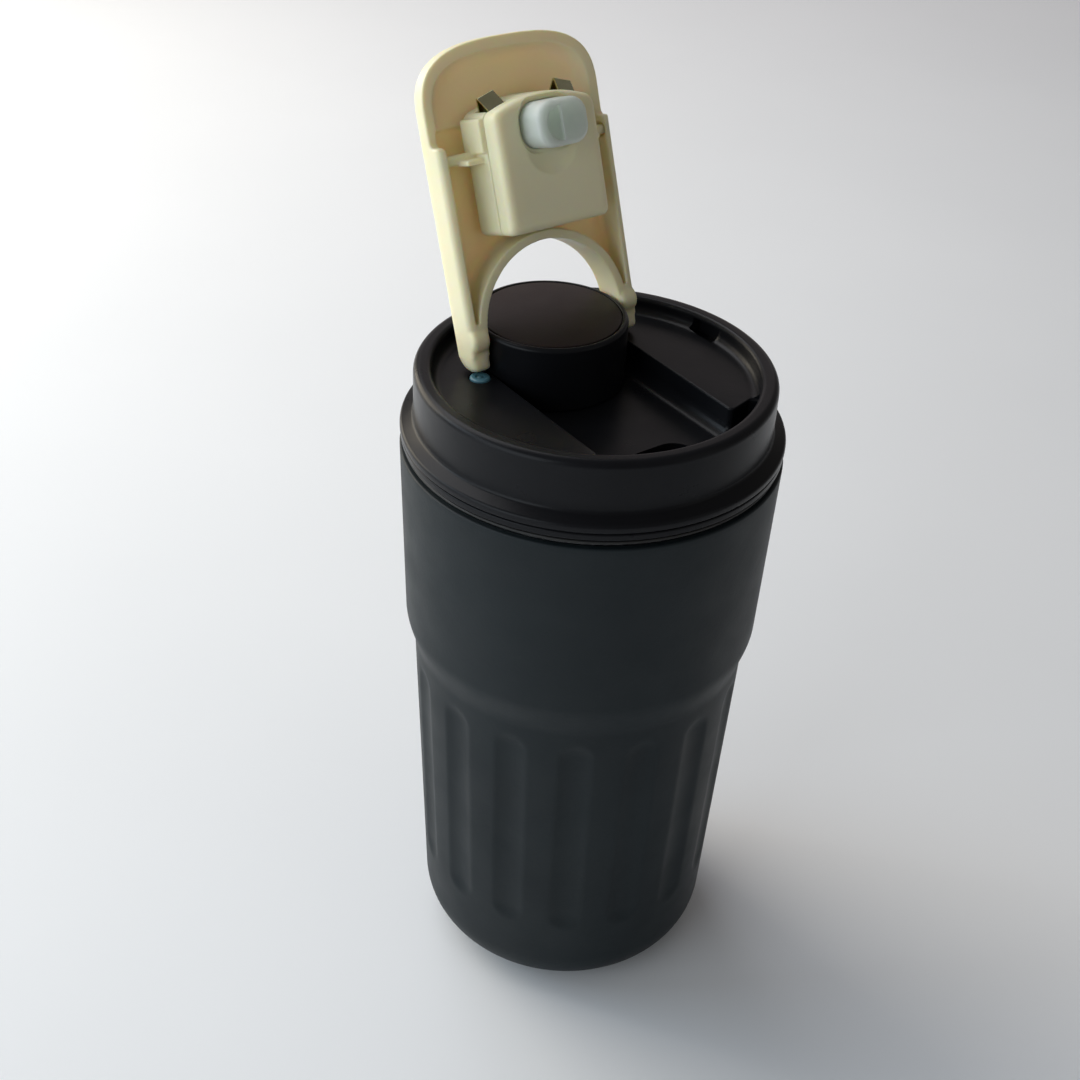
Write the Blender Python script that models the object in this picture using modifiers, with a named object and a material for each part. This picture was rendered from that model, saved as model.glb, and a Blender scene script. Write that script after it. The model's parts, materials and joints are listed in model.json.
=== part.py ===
"""Vacuum flask with a screw-on drinking lid and a flip lever that carries the stopper.

Frame: metres, +Z up, origin at the centre of the base. The drinking side is -Y, and the
lever's hinge runs along X. The lever is modelled closed in its own frame (tip towards -Y,
top towards +Z) and hangs on an empty on the hinge axis, which holds it open.
"""
import math

import bmesh
import bpy
from mathutils import Matrix, Vector

MM = 0.001
GAP = 0.3                      # clearance between neighbouring solids

# ---- vessel (mm) ----
MOUTH_R = 41.0                 # outer radius under the lid
SHOULDER_TOP = (39.9, 95.8)    # radius, height
SHOULDER_FOOT = (37.9, 86.1)
CORNER_R = 12.6                # big rounding at the base
FOOT_R = 35.2                  # wall radius at the top of that rounding
SHELL_TOP = 137.6
SHELL_WALL = 1.4
BASE_HOLE_R = 20.4
FLUTES = 16
FLUTE_PHASE = 98.7             # degrees, counterclockwise from +X, seen from above
FLUTE_Z = (24.0, 83.6)
FLUTE_WIDTH = 7.6
FLUTE_DEPTH = 0.7
NECK_R = 34.8                  # bore of the neck
NECK_WALL = 1.0
LIP_Z = (137.9, 138.3)
LIP_R = 40.9

# ---- thread ----
LEAD = 5.0
MALE_CREST = 34.3
MALE_ROOT = 33.2
FEMALE_CREST = 33.7
MALE_Z = 127.0
FEMALE_Z = 124.5
THREAD_TURNS = 1.25
THREAD_STEPS = 24              # for each turn

# ---- lid ----
FLANGE_R = 40.95
FLANGE_Z = (139.6, 143.4)
RIM_R = 38.1
RIM_TOP = 155.8
RIM_BORE = 34.3
DECK_Z = 152.05
FLOOR_Z = 145.7                # floor of the drinking channel
CEILING_Z = 143.6              # underside of the lid's top wall
CHANNEL_HALF = 16.8
CHANNEL_FRONT_R = 34.2
CHANNEL_FRONT_ANGLE = 46.0     # degrees to each side; wider than the channel
DECK_FRONT = (-23.9, -22.5)    # y of the deck's front edge, by the channel and by the rim
HOLE_Y = -25.4
HOLE = (7.6, 6.15, 4.7)        # oval: half its width, half its depth, corner radius
SEAL_WIDTH = 1.9
PLUG_ROOF = (141.6, 143.3)
PLUG_BOTTOM = 124.5
PLUG_BORE = 31.4
VENT = (-19.9, 13.7)           # place of the vent valve on the deck
VENT_R = 2.2

# ---- hinge tower ----
TOWER_Y = 16.8
TOWER_R = 16.7
TOWER_TOP = 160.5
TOWER_WALL = 2.2
CAP_R = 15.2
HINGE = (0.0, 16.56, 158.16)
OPEN_ANGLE = 110.0             # degrees from closed to open
PIN_R = 1.0
PIN_BORE = 1.3

# ---- lever, in its own frame: reach = distance from the hinge along -Y ----
LEVER_HALF = 21.4
RAIL_HALF = 21.0
LEVER_REACH = 60.0
TIP_START = 46.0
TIP_POWER = 2.9
LEVER_TOP = 5.57
RAIL_BOTTOM = -2.4
TIP_BOTTOM = 0.6
PLATE = 2.0
RAIL_WALL = 1.8
TIP_WALL = 1.9
STEP_REACH = 40.5
ARCH_REACH = 1.0
ARCH_R = 17.1
RIB_WALL = 2.4
TAIL_R = 5.8
KNUCKLE_R = 2.9
EAR_REACH = 37.5
EAR_Z = -0.5
EAR_R = 1.1
EAR_END = 20.4                 # how far out the ears reach into the rails

# ---- stopper carrier, same frame ----
BOX_HALF = 12.4
BOX_NEAR = 21.4
BOX_FAR_R = 31.4               # the far end is round, seen from above, about the lid's axis
BOX_FRONT = -10.7
BOX_SPLIT = -6.0
BOX_BACK = 2.2
BOX_WALL = 1.3
BOX_FRONT_WALL = 2.5
BOX_CORNER = 2.4
PLUG_REACH = 41.8
PLUG = (6.0, 4.6, 3.5)         # oval, as the drinking hole
PLUG_SEAT = 1.0                # how far the seat round the plug is wider than it
PLUG_END = -16.4
CATCH_ANGLE = 16.2             # degrees to each side of the middle
CATCH_W = 4.1
CATCH_R = (26.5, 33.75)        # distance from the lid's axis when the lever is shut
CATCH_BACK = -1.7              # height of a catch's rear leaf where it comes out

ROUND = 48                     # steps of the large turned pieces
SMALL = 24                     # steps of the small round pieces


def clear_scene():
    for item in list(bpy.data.objects):
        bpy.data.objects.remove(item, do_unlink=True)


def collection(name):
    made = bpy.data.collections.new(name)
    bpy.context.scene.collection.children.link(made)
    return made


def material(name, color, roughness, metallic=0.0):
    made = bpy.data.materials.new(name)
    made.use_nodes = True
    shader = made.node_tree.nodes["Principled BSDF"]
    shader.inputs["Base Color"].default_value = (*color, 1.0)
    shader.inputs["Roughness"].default_value = roughness
    shader.inputs["Metallic"].default_value = metallic
    return made


clear_scene()
PARTS = collection("vacuum_flask")
CUTTERS = collection("cutters")

COAT = material("charcoal_powder_coat", (0.03, 0.034, 0.038), 0.5)
STEEL = material("bare_steel", (0.6, 0.6, 0.61), 0.3, 1.0)
COPPER = material("getter_metal", (0.45, 0.4, 0.36), 0.4, 1.0)
BLACK = material("black_plastic", (0.022, 0.02, 0.02), 0.4)
BLACK_MATTE = material("black_matte_plastic", (0.035, 0.03, 0.029), 0.5)
BLACK_RUBBER = material("black_silicone", (0.02, 0.02, 0.02), 0.7)
CREAM = material("cream_plastic", (0.82, 0.75, 0.57), 0.4)
SILICONE = material("clear_silicone", (0.8, 0.84, 0.82), 0.35)
SPRING = material("spring_steel", (0.62, 0.58, 0.5), 0.15, 1.0)


# ---------------------------------------------------------------- helpers

def empty(name, parent=None, location=(0.0, 0.0, 0.0)):
    """A joint's axis: everything that turns about it is its child. The location is in mm."""
    made = bpy.data.objects.new(name, None)
    PARTS.objects.link(made)
    made.parent = parent
    made.location = Vector(location) * MM
    return made


def add(name, mesh, look=None, parent=None, cutter=False):
    """Puts a mesh in the scene as a part, or as a hidden cutter."""
    made = bpy.data.objects.new(name, mesh)
    (CUTTERS if cutter else PARTS).objects.link(made)
    if cutter:
        made.hide_render = True
        made.display_type = "WIRE"
    if look:
        mesh.materials.append(look)
    if parent:
        made.parent = parent
    return made


def mesh_from(bm, name, smooth=True):
    mesh = bpy.data.meshes.new(name)
    bm.to_mesh(mesh)
    bm.free()
    if smooth:
        mesh.shade_smooth()
        mesh.set_sharp_from_angle(angle=math.radians(32))
    return mesh


def evaluated(source, name):
    """The mesh of an object after its modifiers, with the object itself removed."""
    graph = bpy.context.evaluated_depsgraph_get()
    mesh = bpy.data.meshes.new_from_object(source.evaluated_get(graph))
    mesh.name = name
    bpy.data.objects.remove(source, do_unlink=True)
    return mesh


def arc(centre_a, centre_b, radius, start, stop, count):
    """Points of an arc in a profile plane, angles in degrees from the first axis."""
    points = []
    for i in range(count + 1):
        angle = math.radians(start + (stop - start) * i / count)
        points.append((centre_a + radius * math.cos(angle), centre_b + radius * math.sin(angle)))
    return points


def turned_mesh(name, profile, steps=ROUND, turn=360.0, rise=0.0):
    """A profile of (radius, height) in mm turned about Z.

    The profile runs down the outer side and up the inner side. One that starts and ends on
    the axis stays open there; any other is closed into a ring.
    """
    bm = bmesh.new()
    verts = [bm.verts.new((r * MM, 0.0, z * MM)) for r, z in profile]
    for a, b in zip(verts, verts[1:]):
        bm.edges.new((a, b))
    if profile[0][0] > 1e-6:
        bm.edges.new((verts[-1], verts[0]))
    mesh = bpy.data.meshes.new(name)
    bm.to_mesh(mesh)
    bm.free()
    holder = bpy.data.objects.new(name, mesh)
    CUTTERS.objects.link(holder)
    screw = holder.modifiers.new("turn", "SCREW")
    screw.angle = math.radians(turn)
    screw.screw_offset = rise * MM
    screw.steps = steps
    screw.render_steps = steps
    screw.use_merge_vertices = rise == 0.0
    screw.merge_threshold = 0.00001
    screw.use_smooth_shade = True
    mesh = evaluated(holder, name)
    bm = bmesh.new()
    bm.from_mesh(mesh)
    bmesh.ops.remove_doubles(bm, verts=bm.verts, dist=1e-7)
    if rise:
        bmesh.ops.holes_fill(bm, edges=[e for e in bm.edges if e.is_boundary])
        bmesh.ops.recalc_face_normals(bm, faces=bm.faces)
    bpy.data.meshes.remove(mesh)
    return mesh_from(bm, name)


def prism_mesh(name, outline, low, high):
    """A flat outline of (x, y) in mm, extruded from low to high along Z."""
    curve = bpy.data.curves.new(name, "CURVE")
    curve.dimensions = "2D"
    curve.fill_mode = "BOTH"
    curve.extrude = (high - low) / 2 * MM
    spline = curve.splines.new("POLY")
    spline.points.add(len(outline) - 1)
    for point, (x, y) in zip(spline.points, outline):
        point.co = (x * MM, y * MM, 0.0, 1.0)
    spline.use_cyclic_u = True
    holder = bpy.data.objects.new(name, curve)
    CUTTERS.objects.link(holder)
    mesh = evaluated(holder, name)
    bpy.data.curves.remove(curve)
    bm = bmesh.new()
    bm.from_mesh(mesh)
    bpy.data.meshes.remove(mesh)
    bmesh.ops.remove_doubles(bm, verts=bm.verts, dist=1e-7)
    bmesh.ops.translate(bm, verts=bm.verts, vec=(0.0, 0.0, (low + high) / 2 * MM))
    bmesh.ops.recalc_face_normals(bm, faces=bm.faces)
    return mesh_from(bm, name)


def cylinder_mesh(name, radius, low, high, place=(0.0, 0.0), steps=SMALL, along="Z"):
    """A cylinder in mm along one axis; place is where it crosses the other two axes."""
    bm = bmesh.new()
    bmesh.ops.create_cone(bm, cap_ends=True, segments=steps, radius1=radius * MM,
                          radius2=radius * MM, depth=(high - low) * MM)
    bmesh.ops.translate(bm, verts=bm.verts, vec=(0.0, 0.0, (low + high) / 2 * MM))
    if along == "X":
        bmesh.ops.rotate(bm, verts=bm.verts, matrix=Matrix.Rotation(math.radians(90), 3, "Y"))
        bmesh.ops.translate(bm, verts=bm.verts, vec=(0.0, place[0] * MM, place[1] * MM))
    else:
        bmesh.ops.translate(bm, verts=bm.verts, vec=(place[0] * MM, place[1] * MM, 0.0))
    return mesh_from(bm, name)


def box_mesh(name, low, high, bevel=0.0):
    """A box between two corners in mm, with its edges rounded if asked."""
    bm = bmesh.new()
    bmesh.ops.create_cube(bm, size=1.0)
    size = [(b - a) * MM for a, b in zip(low, high)]
    middle = [(a + b) / 2 * MM for a, b in zip(low, high)]
    bmesh.ops.scale(bm, verts=bm.verts, vec=size)
    bmesh.ops.translate(bm, verts=bm.verts, vec=middle)
    if bevel:
        bmesh.ops.bevel(bm, geom=bm.edges[:], offset=bevel * MM, segments=2, profile=0.5,
                        affect="EDGES")
    return mesh_from(bm, name)


def combine(target, mesh, operation="DIFFERENCE"):
    """Adds a Boolean with a hidden cutter that shares the target's parent."""
    cutter = add(f"{target.name}_{len(target.modifiers)}_{mesh.name}", mesh, cutter=True,
                 parent=target.parent)
    cutter.location = target.location
    step = target.modifiers.new(mesh.name, "BOOLEAN")
    step.operation = operation
    step.solver = "EXACT"
    step.object = cutter
    return step


def side_mesh(name, profile, half_width):
    """A side view of (reach, height) in mm, as thick as the lever is wide."""
    mesh = prism_mesh(name, profile, -half_width, half_width)
    mesh.transform(Matrix(((0, 0, -1, 0), (-1, 0, 0, 0), (0, 1, 0, 0), (0, 0, 0, 1))))
    return mesh


def tip_outline(half, reach, start, count=14):
    """Right half of a rounded tip as (x, reach), from the side to the middle."""
    points = []
    for i in range(count + 1):
        angle = math.pi / 2 * i / count
        x = half * math.cos(angle) ** (2 / TIP_POWER)
        s = start + (reach - start) * math.sin(angle) ** (2 / TIP_POWER)
        points.append((x, s))
    return points


def oval(shape, grow, centre_y):
    """A rounded rectangle of (half width, half depth, corner radius), grown all round."""
    half_x, half_y, corner = shape
    x, y = half_x - corner, half_y - corner
    points = []
    for turn, (cx, cy) in enumerate(((x, y), (-x, y), (-x, -y), (x, -y))):
        points += arc(cx, centre_y + cy, corner + grow, 90 * turn, 90 * turn + 90, 6)
    return points


def plan(points):
    """Turns (x, reach) points into the lever's own (x, y), mirrored to both sides."""
    right = [(x, -s) for x, s in points]
    left = [(-x, y) for x, y in reversed(right) if x > 1e-6]
    return right + left


# ---------------------------------------------------------------- vessel

def shell_outer():
    """The vessel's outer line from the mouth down to the base."""
    line = [(MOUTH_R, SHELL_TOP), SHOULDER_TOP]
    (top_r, top_z), (foot_r, foot_z) = SHOULDER_TOP, SHOULDER_FOOT
    for i in range(1, 4):
        t = i / 4
        blend = t * t * (3 - 2 * t)
        line.append((top_r + (foot_r - top_r) * blend, top_z + (foot_z - top_z) * t))
    line.append((foot_r, foot_z))
    line += arc(FOOT_R - CORNER_R, CORNER_R, CORNER_R, 0, -90, 6)
    return line + [(BASE_HOLE_R, 0.0)]


def outer_shell():
    wall = SHELL_WALL
    inner = arc(FOOT_R - CORNER_R, CORNER_R, CORNER_R - wall, -90, 0, 4)
    inner += [(SHOULDER_FOOT[0] - wall, SHOULDER_FOOT[1] + 0.6),
              (SHOULDER_TOP[0] - wall, SHOULDER_TOP[1] + 0.6),
              (MOUTH_R - wall, SHELL_TOP)]
    profile = shell_outer() + [(BASE_HOLE_R, wall)] + inner
    shell = add("outer_shell", turned_mesh("outer_shell", profile), COAT)
    combine(shell, flute_cutters())


def flute_cutters():
    """All the flutes as one mesh of upright capsules that dip into the lower wall."""
    half = FLUTE_WIDTH / 2
    radius = (half ** 2 + FLUTE_DEPTH ** 2) / (2 * FLUTE_DEPTH)
    slope = (SHOULDER_FOOT[0] - FOOT_R) / (SHOULDER_FOOT[1] - CORNER_R)
    low = FLUTE_Z[0] + half
    high = FLUTE_Z[1] - half
    bm = bmesh.new()
    for k in range(FLUTES):
        piece = bmesh.new()
        bmesh.ops.create_uvsphere(piece, u_segments=32, v_segments=16, radius=radius * MM)
        top = [v for v in piece.verts if v.co.z > 1e-7]
        level = (high - low) * MM
        bmesh.ops.bisect_plane(piece, geom=piece.verts[:] + piece.edges[:] + piece.faces[:],
                               plane_co=(0, 0, 0), plane_no=(0, 0, 1))
        for v in top:
            v.co.z += level
        bmesh.ops.translate(piece, verts=piece.verts, vec=(0, 0, low * MM))
        reach = FOOT_R - slope * CORNER_R + radius - FLUTE_DEPTH
        for v in piece.verts:
            v.co.x += (reach + slope * v.co.z / MM) * MM
        turn = Matrix.Rotation(math.radians(FLUTE_PHASE + 360 * k / FLUTES), 3, "Z")
        bmesh.ops.rotate(piece, verts=piece.verts, matrix=turn)
        mesh = bpy.data.meshes.new("flute")
        piece.to_mesh(mesh)
        piece.free()
        bm.from_mesh(mesh)
        bpy.data.meshes.remove(mesh)
    return mesh_from(bm, "flutes")


def base_pieces():
    """The welded bottom, its pump-out seal and the cosmetic cover under them."""
    dimple = 3.0
    bottom = [(0.0, 2.9), (dimple, 2.9), (dimple + 1.2, 3.4), (24.0, 3.4), (24.0, 2.2),
              (dimple + 1.6, 2.2), (dimple + 1.4, 2.0), (1.1, 2.0), (0.0, 2.0)]
    welded = add("outer_base", turned_mesh("outer_base", bottom, steps=24), STEEL)
    combine(welded, cylinder_mesh("pump_hole", 0.9, 1.0, 4.0, steps=16))
    seal = [(0.0, 4.3), (0.9, 4.1), (1.4, 3.2), (0.0, 3.2)]
    add("vacuum_seal", turned_mesh("vacuum_seal", seal, steps=16), COPPER)
    cover = [(0.0, 1.5), (19.6, 1.5), (20.1, 1.1), (20.1, 0.6), (15.0, 0.6), (14.4, 1.0), (0.0, 1.0)]
    add("base_cover", turned_mesh("base_cover", cover, steps=36), STEEL)


def inner_liner():
    wall = NECK_WALL
    neck = NECK_R + wall
    outer = [(LIP_R - 0.3, LIP_Z[1]), (LIP_R, LIP_Z[1] - 0.3), (LIP_R, LIP_Z[0]), (neck, LIP_Z[0]),
             (neck, 124.0), (37.0, 119.0), (36.6, 98.0), (34.4, 85.0), (32.2, 20.0)]
    outer += arc(20.2, 20.0, 12.0, -15, -90, 3)
    inner = arc(20.2, 20.0, 11.0, -90, -15, 3)
    inner += [(31.2, 20.0), (33.4, 85.0), (35.6, 98.0), (36.0, 118.6), (NECK_R, 123.6),
              (NECK_R, LIP_Z[1])]
    profile = [(0.0, 9.0)] + inner + outer + [(0.0, 8.0)]
    liner = add("inner_liner", turned_mesh("inner_liner", profile, steps=40), STEEL)
    ridge = [(NECK_R + 0.5, 1.1), (FEMALE_CREST, 0.55), (FEMALE_CREST, -0.55), (NECK_R + 0.5, -1.1)]
    combine(liner, thread_mesh("neck_thread", ridge, FEMALE_Z), "UNION")


def thread_mesh(name, ridge, start_z):
    """A right-hand ridge: its profile is (radius, height from the helix line)."""
    profile = [(r, start_z + z) for r, z in ridge]
    steps = int(THREAD_STEPS * THREAD_TURNS)
    return turned_mesh(name, profile, steps=steps, turn=360 * THREAD_TURNS,
                       rise=LEAD * THREAD_TURNS)


def getter():
    """The pellet that keeps the vacuum, in its cup on the liner's underside."""
    cup = [(0.0, 7.6), (4.0, 7.6), (4.0, 5.6), (3.5, 5.6), (3.5, 6.6), (0.0, 6.6)]
    add("getter_cup", turned_mesh("getter_cup", cup, steps=SMALL), COPPER)


# ---------------------------------------------------------------- lid

def lid_shell(axis):
    top = [(0.0, DECK_Z)] + arc(RIM_BORE - 2.0, DECK_Z + 2.0, 2.0, -90, 0, 3)
    top += arc(RIM_BORE + 1.1, RIM_TOP - 1.1, 1.1, 180, 90, 2)
    top += arc(RIM_R - 1.6, RIM_TOP - 1.6, 1.6, 90, 0, 4)
    skirt = [(RIM_R + 0.3, 145.2), (RIM_R + 0.9, 144.2), (FLANGE_R - 1.0, FLANGE_Z[1])]
    skirt += arc(FLANGE_R - 0.9, FLANGE_Z[1] - 0.9, 0.9, 80, 0, 3)
    bead = FLANGE_R - 0.2
    skirt += [(bead - 0.3, FLANGE_Z[0] + 1.7), (bead, FLANGE_Z[0] + 1.2), (bead, FLANGE_Z[0] + 0.4),
              (bead - 0.4, FLANGE_Z[0]), (36.8, FLANGE_Z[0]), (36.8, CEILING_Z), (0.0, CEILING_Z)]
    lid = add("lid_shell", turned_mesh("lid_shell", top + skirt), BLACK, axis)
    combine(lid, prism_mesh("channel", channel_outline(), FLOOR_Z, RIM_TOP - 1.9))
    combine(lid, cylinder_mesh("tower_seat", TOWER_R + GAP, FLOOR_Z, RIM_TOP - 1.9,
                               place=(0.0, TOWER_Y), steps=48))
    for side in (-1, 1):
        combine(lid, prism_mesh("pocket", pocket_outline(side), CEILING_Z - 1.0, DECK_Z - 2.0))
    combine(lid, prism_mesh("drinking_hole", oval(HOLE, 0.0, HOLE_Y), CEILING_Z - 1.0,
                            FLOOR_Z + 1.0))
    combine(lid, cylinder_mesh("vent_seat", VENT_R + GAP, DECK_Z - 0.6, DECK_Z + 1.0, place=VENT))
    combine(lid, cylinder_mesh("vent_hole", 1.2, DECK_Z - 3.0, DECK_Z, place=VENT, steps=16))
    combine(lid, box_mesh("rim_notch", (32.2, 0.8, DECK_Z - 1.4), (35.4, 8.4, DECK_Z + 2.6)))


def channel_outline():
    """The channel from under the tower to the rim, which it follows past the deck's corners."""
    front = arc(0.0, 0.0, CHANNEL_FRONT_R, CHANNEL_FRONT_ANGLE - 90, -90, 9)
    right = [(CHANNEL_HALF, TOWER_Y), (CHANNEL_HALF, DECK_FRONT[0] + 0.8),
             (CHANNEL_HALF + 0.8, DECK_FRONT[0]), (front[0][0] - 1.5, DECK_FRONT[1])] + front
    return right + [(-x, y) for x, y in reversed(right) if x > 1e-6]


def pocket_outline(side):
    """The hollow under one side of the deck, which stops short of the channel's front."""
    wall = 18.4
    radius = 32.6
    front = DECK_FRONT[1] + 2.0
    low = math.degrees(math.asin(front / radius))
    high = math.degrees(math.acos(wall / radius))
    points = [(wall, front)] + arc(0.0, 0.0, radius, low, high, 14)
    return [(side * x, y) for x, y in points]


def lid_plug(axis):
    roof_low, roof_high = PLUG_ROOF
    profile = [(0.0, roof_high), (36.4, roof_high), (36.4, roof_low), (MALE_ROOT, roof_low),
               (MALE_ROOT, PLUG_BOTTOM + 0.8), (MALE_ROOT - 0.8, PLUG_BOTTOM),
               (PLUG_BORE, PLUG_BOTTOM), (PLUG_BORE, roof_low), (0.0, roof_low)]
    plug = add("lid_plug", turned_mesh("lid_plug", profile), BLACK_MATTE, axis)
    ridge = [(MALE_CREST, 0.5), (MALE_CREST, -0.5), (MALE_ROOT - 0.5, -1.1), (MALE_ROOT - 0.5, 1.1)]
    combine(plug, thread_mesh("plug_thread", ridge, MALE_Z), "UNION")
    seat = oval(HOLE, SEAL_WIDTH / 2 + GAP, HOLE_Y)
    combine(plug, prism_mesh("seal_seat", seat, roof_low + 0.6, roof_high + 1.0))
    combine(plug, prism_mesh("spout", oval(HOLE, 0.0, HOLE_Y), roof_low - 1.0, roof_high + 1.0))
    combine(plug, cylinder_mesh("plug_vent", 1.2, roof_low - 1.0, roof_high + 1.0, place=VENT,
                                steps=16))


def seals(axis):
    """The silicone rings and the vent valve of the lid."""
    gasket = [(34.4, 137.2), (34.4, 136.5), (34.1, 136.1), (34.4, 135.7), (34.4, 135.0),
              (33.5, 135.0), (33.5, 137.2)]
    add("lid_gasket", turned_mesh("lid_gasket", gasket, steps=36), SILICONE, axis)
    flange = [(40.2, 139.3), (40.4, 138.9), (40.2, 138.5), (37.1, 138.5), (37.1, 139.3)]
    add("flange_seal", turned_mesh("flange_seal", flange), BLACK_RUBBER, axis)
    low, high = PLUG_ROOF[0] + 0.9, PLUG_ROOF[1] - 0.1
    ring = prism_mesh("spout_seal", oval(HOLE, SEAL_WIDTH / 2, HOLE_Y), low, high)
    spout = add("spout_seal", ring, SILICONE, axis)
    combine(spout, prism_mesh("bore", oval(HOLE, -SEAL_WIDTH / 2, HOLE_Y), low - 1.0, high + 1.0))
    valve = [(0.0, 152.5), (1.4, 152.4), (2.05, 152.1), (VENT_R, 151.75), (0.9, 151.75),
             (0.9, 149.7), (1.35, 149.7), (1.35, 149.2), (0.7, 148.6), (0.0, 148.6)]
    vent = add("vent_valve", turned_mesh("vent_valve", valve, steps=20), SILICONE, axis)
    vent.location = (VENT[0] * MM, VENT[1] * MM, 0.0)


def hinge_tower(axis):
    base = FLOOR_Z + GAP
    inner = TOWER_R - TOWER_WALL
    recess = TOWER_TOP - 0.8
    profile = [(0.0, recess), (CAP_R + GAP, recess), (CAP_R + GAP, TOWER_TOP - 0.1)]
    profile += arc(TOWER_R - 0.9, TOWER_TOP - 0.9, 0.9, 90, 0, 3)
    profile += [(TOWER_R, base), (inner, base), (inner, 156.2), (0.0, 156.2)]
    tower = add("hinge_tower", turned_mesh("hinge_tower", profile, steps=40), BLACK, axis)
    tower.location = (0.0, TOWER_Y * MM, 0.0)
    for side in (-1, 1):
        low, high = sorted((side * 13.4, side * 18.0))
        place = (HINGE[1] - TOWER_Y, HINGE[2])
        combine(tower, cylinder_mesh("pin_bore", PIN_BORE, low, high, place=place, along="X",
                                     steps=16))
    cap = [(0.0, TOWER_TOP), (CAP_R - 0.3, TOWER_TOP), (CAP_R, TOWER_TOP - 0.2),
           (CAP_R, TOWER_TOP - 0.5), (0.0, TOWER_TOP - 0.5)]
    disc = add("tower_cap", turned_mesh("tower_cap", cap, steps=40), BLACK_MATTE, axis)
    disc.location = (0.0, TOWER_Y * MM, 0.0)


# ---------------------------------------------------------------- lever

def lever_side():
    """The lever's side view, from the tail round the top to the tip and back."""
    front = -1.8
    low = 180 + math.degrees(math.asin(-front / TAIL_R))
    high = 180 - math.degrees(math.asin(LEVER_TOP / TAIL_R))
    tail = arc(0.0, 0.0, TAIL_R, low, high, 8)
    line = tail + [(18.0, LEVER_TOP), (40.0, 5.4), (52.0, 4.9), (62.0, 4.1), (62.0, TIP_BOTTOM),
                   (STEP_REACH + 0.6, TIP_BOTTOM), (STEP_REACH, TIP_BOTTOM - 0.5),
                   (STEP_REACH, RAIL_BOTTOM + 0.8), (STEP_REACH - 0.8, RAIL_BOTTOM),
                   (8.0, RAIL_BOTTOM), (4.4, front)]
    return line


def lever_cover(frame):
    outer = [(LEVER_HALF, -8.0)] + tip_outline(LEVER_HALF, LEVER_REACH, TIP_START)
    lever = add("lever_cover", prism_mesh("lever_cover", plan(outer), -4.0, 7.0), CREAM, frame)
    combine(lever, side_mesh("side_view", lever_side(), LEVER_HALF + 2.0), "INTERSECT")
    soften = lever.modifiers.new("soft_edges", "BEVEL")
    soften.width = 1.1 * MM
    soften.segments = 2
    soften.limit_method = "ANGLE"
    soften.angle_limit = math.radians(50)
    combine(lever, prism_mesh("arch", arch_outline(), -5.0, 8.0))
    combine(lever, prism_mesh("rail_hollow", hollow_outline(RAIL_HALF - RAIL_WALL), -5.0,
                              LEVER_TOP - PLATE))
    combine(lever, prism_mesh("tip_hollow", tip_hollow_outline(), -5.0, LEVER_TOP - PLATE - 0.5))
    for side in (-1, 1):
        low, high = sorted((side * (ARCH_R + 0.2), side * (RAIL_HALF - 0.6)))
        combine(lever, cylinder_mesh("knuckle", KNUCKLE_R, low, high, along="X"), "UNION")
        low, high = sorted((side * 15.0, side * 19.5))
        combine(lever, cylinder_mesh("pin_socket", PIN_BORE, low, high, along="X", steps=16))
        low, high = sorted((side * 15.0, side * (EAR_END + GAP)))
        combine(lever, cylinder_mesh("ear_socket", EAR_R + GAP, low, high,
                                     place=(-EAR_REACH, EAR_Z), along="X", steps=16))


def arch_outline():
    """The opening round the tower: a half circle and the straight gap behind it."""
    half = arc(0.0, ARCH_REACH, ARCH_R, 0, 90, 14)
    return plan([(ARCH_R, -9.0)] + half)


def hollow_outline(half):
    """The hollow between the side rails, bounded by the rib round the arch."""
    rib = ARCH_R + RIB_WALL
    edge = math.degrees(math.acos(half / rib))
    rise = arc(0.0, ARCH_REACH, rib, edge, 90, 10)
    far = STEP_REACH + 3.0
    right = [(x, -s) for x, s in rise]
    left = [(-x, y) for x, y in reversed(right) if x > 1e-6]
    return [(half, -far)] + right + left + [(-half, -far)]


def tip_hollow_outline():
    """The wider hollow inside the tip, past the end of the rails."""
    half = LEVER_HALF - TIP_WALL
    points = tip_outline(half, LEVER_REACH - TIP_WALL, TIP_START)
    return plan([(half, STEP_REACH + 0.7)] + points)


def hinge_pins(frame):
    for side, name in ((-1, "hinge_pin_left"), (1, "hinge_pin_right")):
        low, high = sorted((side * 13.8, side * 19.2))
        add(name, cylinder_mesh(name, PIN_R, low, high, along="X", steps=16), STEEL, frame)


def box_outline(inset, corner):
    """A plan view of the carrier, as (x, y): straight sides and a round far end."""
    half = BOX_HALF - inset
    near = BOX_NEAR + inset
    radius = BOX_FAR_R - inset
    edge = math.degrees(math.acos((half - corner) / (radius - corner)))
    far = HINGE[1] + (radius - corner) * math.sin(math.radians(edge))
    right = arc(half - 1.4, near + 1.4, 1.4, -90, 0, 3) + arc(half - corner, far, corner, 0, edge, 3)
    right += arc(0.0, HINGE[1], radius, edge, 90, 6)[1:]
    return plan(right)


def stopper_carrier(rocker):
    """The rear half of the box, with the round ears that it rocks on."""
    shape = box_outline(0.0, BOX_CORNER)
    body = add("stopper_carrier", prism_mesh("stopper_carrier", shape, BOX_SPLIT + 0.15, BOX_BACK),
               CREAM, rocker)
    body.location = (0.0, EAR_REACH * MM, -EAR_Z * MM)
    half = BOX_HALF + 0.9
    combine(body, box_mesh("shoulders", (-half, -EAR_REACH - 7.4, BOX_SPLIT + 0.25),
                           (half, -EAR_REACH - 0.5, BOX_BACK - 0.5)), "UNION")
    inside = box_outline(BOX_WALL, BOX_CORNER - 1.0)
    combine(body, prism_mesh("inside", inside, BOX_SPLIT - 1.0, BOX_BACK - BOX_WALL))
    for side in (-1, 1):
        low, high = sorted((side * (BOX_HALF - 0.8), side * EAR_END))
        combine(body, cylinder_mesh("ear", EAR_R, low, high, place=(-EAR_REACH, EAR_Z), along="X",
                                    steps=16), "UNION")
    catch_slots(body)


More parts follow.
